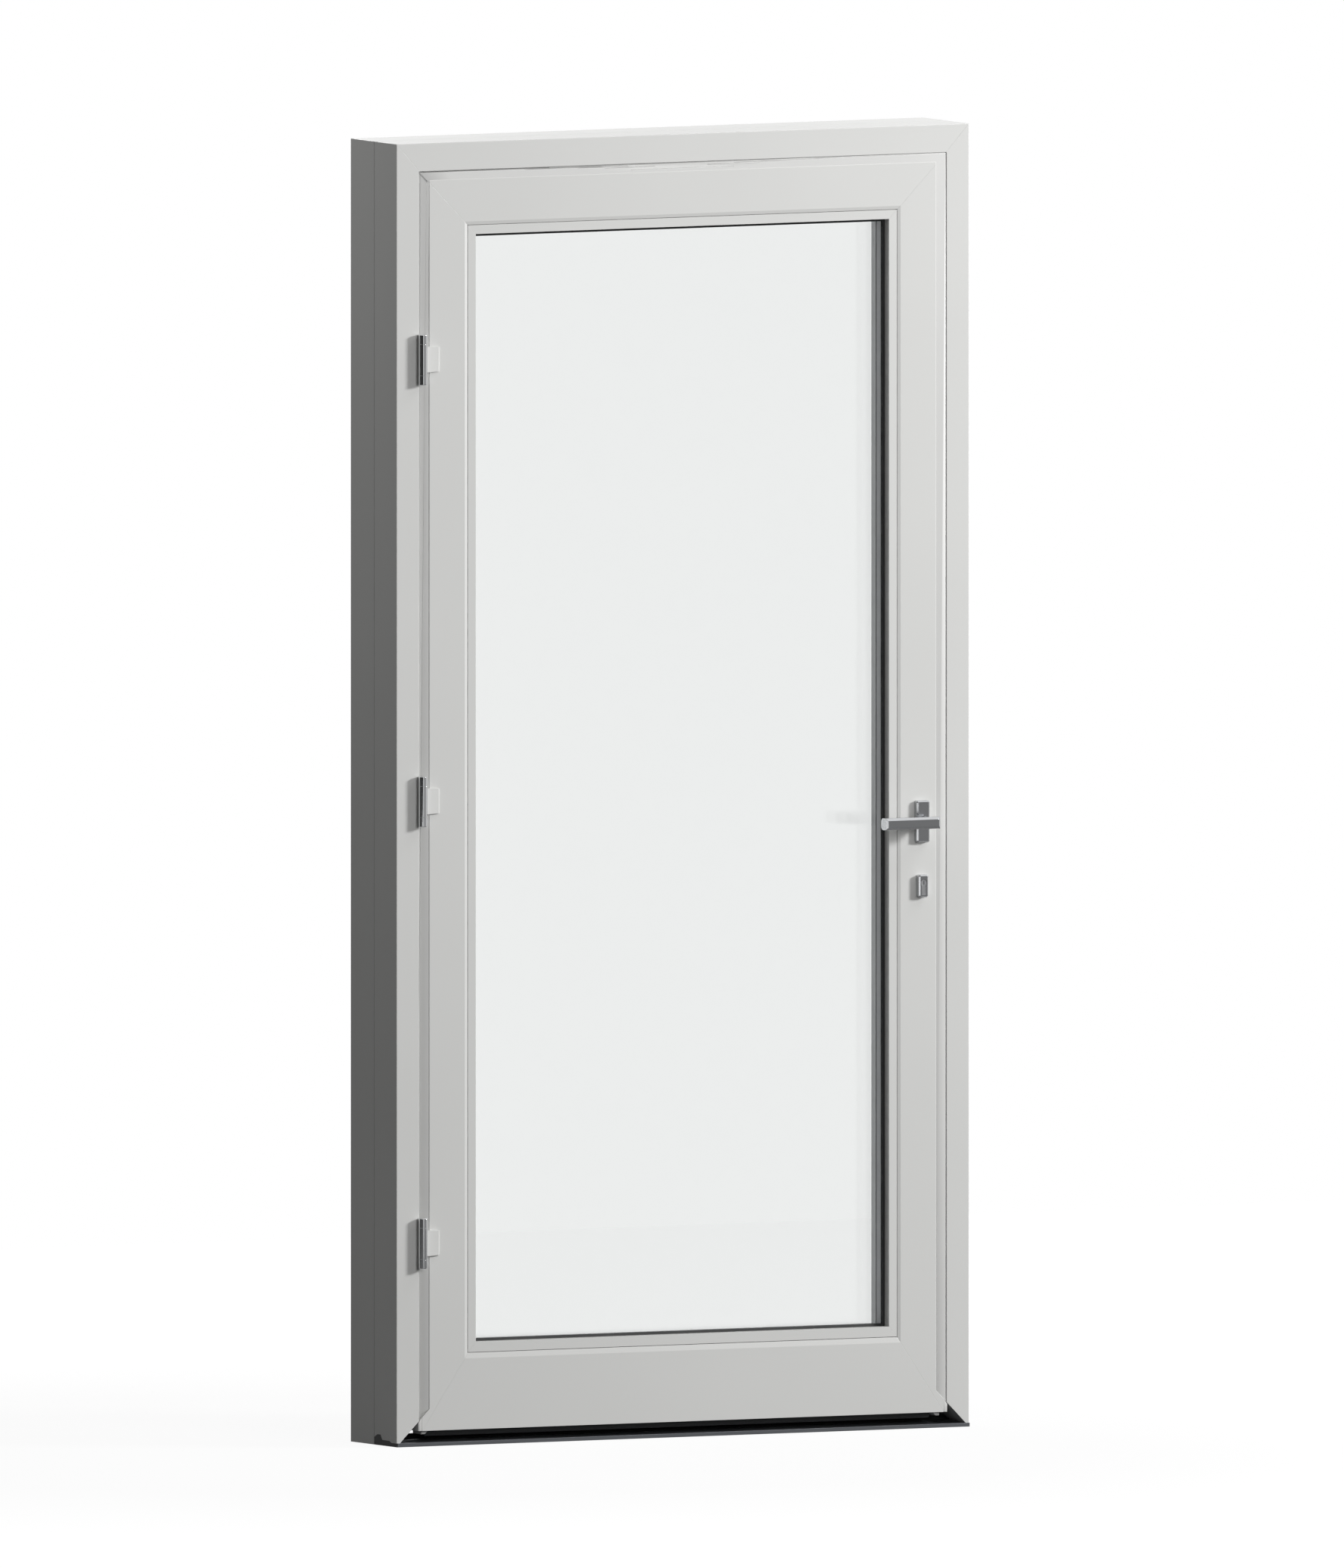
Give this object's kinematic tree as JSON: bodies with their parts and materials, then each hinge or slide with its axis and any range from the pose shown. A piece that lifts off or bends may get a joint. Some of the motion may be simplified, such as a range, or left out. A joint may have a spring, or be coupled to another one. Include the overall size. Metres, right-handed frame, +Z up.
{
  "type": "glazed front door in its frame",
  "caption": "Flush painted front door leaf with full-height triple glazing, side-hung in a deep frame over a low threshold, with barrel hinges and a square lever.",
  "frame": {"origin": "on the hinge-side wall face of the frame, at floor level, at the joint between the frame and its extension", "axes": "+Z up; +X from the hinge side to the lock side; +Y from the room to the outside, so the room is at -Y"},
  "size_m": [1.092, 0.214, 2.2],
  "materials": {
    "paint": "light grey powder coat, satin",
    "threshold_metal": "brushed, anodised",
    "black_profile": "matte black",
    "seal_rubber": "matte black",
    "block_plastic": "light grey",
    "pane": "clear",
    "spacer": "satin",
    "hinge_chrome": "polished",
    "furniture": "satin chrome",
    "satin_steel": "brushed"
  },
  "bodies": {
    "frame": {"hinge_jamb": "paint", "lock_jamb": "paint", "frame_head": "paint", "hinge_extension": "paint", "lock_extension": "paint", "head_extension": "paint", "threshold_tread": "threshold_metal", "threshold_upstand": "black_profile", "frame_seal": "seal_rubber", "strike_plate": "satin_steel", "bottom_hinge_post": "hinge_chrome", "middle_hinge_post": "hinge_chrome", "top_hinge_post": "hinge_chrome"},
    "leaf": {"hinge_stile": "paint", "lock_stile": "paint", "top_rail": "paint", "bottom_rail": "paint", "hinge_bead": "paint", "lock_bead": "paint", "top_bead": "paint", "bottom_bead": "paint", "room_gasket": "seal_rubber", "outer_gasket": "seal_rubber", "room_pane": "pane", "middle_pane": "pane", "outer_pane": "pane", "room_spacer": "spacer", "outer_spacer": "spacer", "bottom_hinge_sleeve": "hinge_chrome", "middle_hinge_sleeve": "hinge_chrome", "top_hinge_sleeve": "hinge_chrome", "bottom_hinge_bracket": "paint", "middle_hinge_bracket": "paint", "top_hinge_bracket": "paint", "room_rosette": "furniture", "outer_rosette": "furniture", "room_escutcheon": "furniture", "outer_escutcheon": "furniture", "lock_cylinder": "satin_steel", "lock_faceplate": "satin_steel", "bottom_seal": "seal_rubber", "hinge_seal_block": "block_plastic", "lock_seal_block": "block_plastic"},
    "lever": {"room_lever": "furniture", "outer_lever": "furniture"}
  },
  "joints": [
    {"name": "leaf_swing", "type": "hinge", "parent": "frame", "child": "leaf", "pos_m": [0.046, -0.088, 1.089], "axis": [0, 0, -1], "range_deg": [0, 110]},
    {"name": "lever_turn", "type": "hinge", "parent": "leaf", "child": "lever", "pos_m": [1.0005, -0.04, 1.025], "axis": [0, -1, 0], "range_deg": [0, 45], "stiffness_Nm_per_rad": 1.6, "springref_deg": -22.92}
  ]
}
